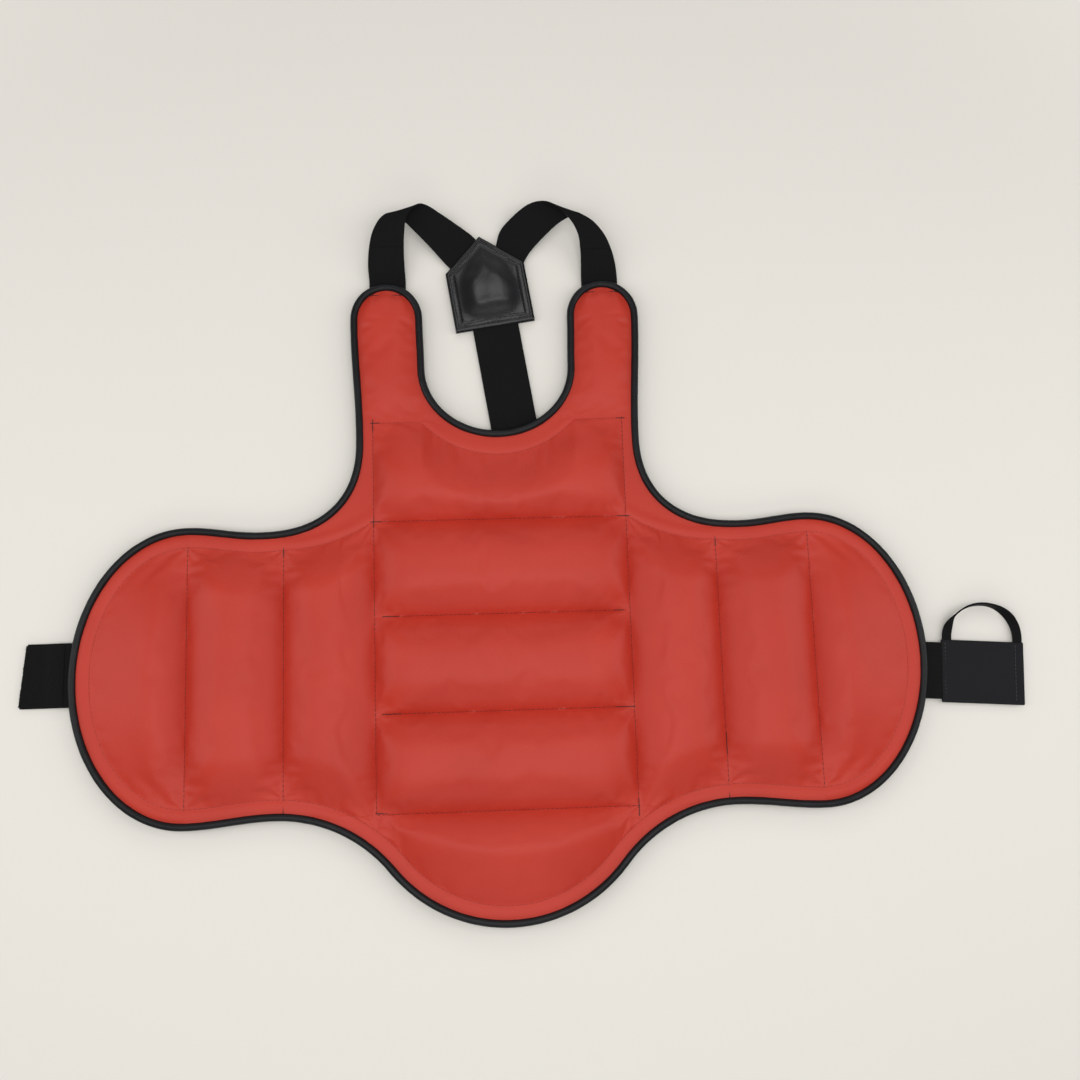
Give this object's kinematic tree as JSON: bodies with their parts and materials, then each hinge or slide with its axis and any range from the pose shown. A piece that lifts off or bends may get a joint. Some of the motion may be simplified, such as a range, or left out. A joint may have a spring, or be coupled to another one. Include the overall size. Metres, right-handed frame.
{
  "type": "chest protector",
  "caption": "Quilted foam chest protector with folding side wings, a round belly flap, shoulder tabs, an elastic Y-shaped back strap and a hook-and-loop waist closure.",
  "frame": {"origin": "on the surface that the panel lies on, under the middle of the three quilted rows and on the panel's line of symmetry", "axes": "+X to the viewer's right across the wings, +Y towards the neck and shoulders, +Z out of the red front"},
  "size_m": [0.7936, 0.5813, 0.0232],
  "materials": {
    "red_vinyl": "satin red coated vinyl with a fine grain",
    "black_lining": "matte woven nylon lining",
    "foam": "closed-cell foam",
    "black_binding": "glossy black vinyl tape",
    "seam_thread": "twisted polyester thread",
    "patch_leather": "glossy black grained leather",
    "hook_and_loop": "hook-and-loop tape",
    "tab_nylon": "smooth woven nylon",
    "black_elastic": "matte woven elastic webbing"
  },
  "bodies": {
    "torso": {"cover_centre": "red_vinyl", "cover_left_rib": "red_vinyl", "cover_right_rib": "red_vinyl", "cover_left_shoulder": "red_vinyl", "cover_right_shoulder": "red_vinyl", "lining_centre": "black_lining", "lining_left_rib": "black_lining", "lining_right_rib": "black_lining", "lining_left_shoulder": "black_lining", "lining_right_shoulder": "black_lining", "foam_chest": "foam", "foam_row_upper": "foam", "foam_row_middle": "foam", "foam_row_lower": "foam", "foam_left_rib": "foam", "foam_right_rib": "foam", "foam_left_shoulder": "foam", "foam_right_shoulder": "foam", "binding_torso": "black_binding", "thread_torso": "seam_thread", "anchor_left_arm": "black_elastic", "anchor_right_arm": "black_elastic"},
    "flap": {"cover_flap": "red_vinyl", "lining_flap": "black_lining", "foam_flap": "foam", "binding_flap": "black_binding"},
    "left_wing": {"cover_left_wing": "red_vinyl", "lining_left_wing": "black_lining", "foam_left_wing": "foam", "binding_left_wing": "black_binding", "thread_left_wing": "seam_thread"},
    "left_wing_end": {"cover_left_end": "red_vinyl", "lining_left_end": "black_lining", "foam_left_end": "foam", "binding_left_end": "black_binding", "anchor_left_waist": "black_elastic"},
    "right_wing": {"cover_right_wing": "red_vinyl", "lining_right_wing": "black_lining", "foam_right_wing": "foam", "binding_right_wing": "black_binding", "thread_right_wing": "seam_thread"},
    "right_wing_end": {"cover_right_end": "red_vinyl", "lining_right_end": "black_lining", "foam_right_end": "foam", "binding_right_end": "black_binding", "anchor_right_waist": "black_elastic"},
    "back_strap": {"arm_left": "black_elastic", "arm_right": "black_elastic", "patch_front": "patch_leather", "patch_back": "patch_leather", "anchor_stem": "black_elastic"},
    "stem": {"stem": "black_elastic", "stem_hook_tape": "hook_and_loop"},
    "left_waist": {"left_waist_strap": "black_elastic", "left_loop_tape": "hook_and_loop"},
    "right_waist": {"right_elastic": "black_elastic", "right_tab": "tab_nylon", "right_hook_tape": "hook_and_loop"},
    "loop": {"tab_loop": "black_elastic"}
  },
  "joints": [
    {"name": "left_wing_fold", "type": "hinge", "parent": "torso", "child": "left_wing", "pos_m": [-0.172, 0, 0.008], "axis": [0, 1, 0], "range_deg": [-60, 60]},
    {"name": "left_end_fold", "type": "hinge", "parent": "left_wing", "child": "left_wing_end", "pos_m": [-0.247, 0, 0.008], "axis": [0, 1, 0], "range_deg": [-60, 60]},
    {"name": "right_wing_fold", "type": "hinge", "parent": "torso", "child": "right_wing", "pos_m": [0.172, 0, 0.008], "axis": [0, -1, 0], "range_deg": [-60, 60]},
    {"name": "right_end_fold", "type": "hinge", "parent": "right_wing", "child": "right_wing_end", "pos_m": [0.247, 0, 0.008], "axis": [0, -1, 0], "range_deg": [-60, 60]},
    {"name": "flap_fold", "type": "hinge", "parent": "torso", "child": "flap", "pos_m": [0, -0.114, 0.008], "axis": [-1, 0, 0], "range_deg": [-45, 45]},
    {"name": "back_strap_swing", "type": "hinge", "parent": "torso", "child": "back_strap", "pos_m": [0, 0.3165, 0.00355], "axis": [1, 0, 0], "range_deg": [0, 80]},
    {"name": "stem_fold", "type": "hinge", "parent": "back_strap", "child": "stem", "pos_m": [0.00088, 0.27453, 0.00265], "axis": [0.9885, 0.1513, 0], "range_deg": [0, 60]},
    {"name": "left_strap_fold", "type": "hinge", "parent": "left_wing_end", "child": "left_waist", "pos_m": [-0.3405, 0, 0.00355], "axis": [0, 1, 0], "range_deg": [-80, 80]},
    {"name": "right_strap_fold", "type": "hinge", "parent": "right_wing_end", "child": "right_waist", "pos_m": [0.3405, -0.017, 0.00355], "axis": [-0.0698, -0.9976, 0], "range_deg": [-80, 80]},
    {"name": "loop_fold", "type": "hinge", "parent": "right_waist", "child": "loop", "pos_m": [0.38472, 0.00617, 0.0032], "axis": [0.9976, -0.0698, 0], "range_deg": [-80, 80]}
  ]
}
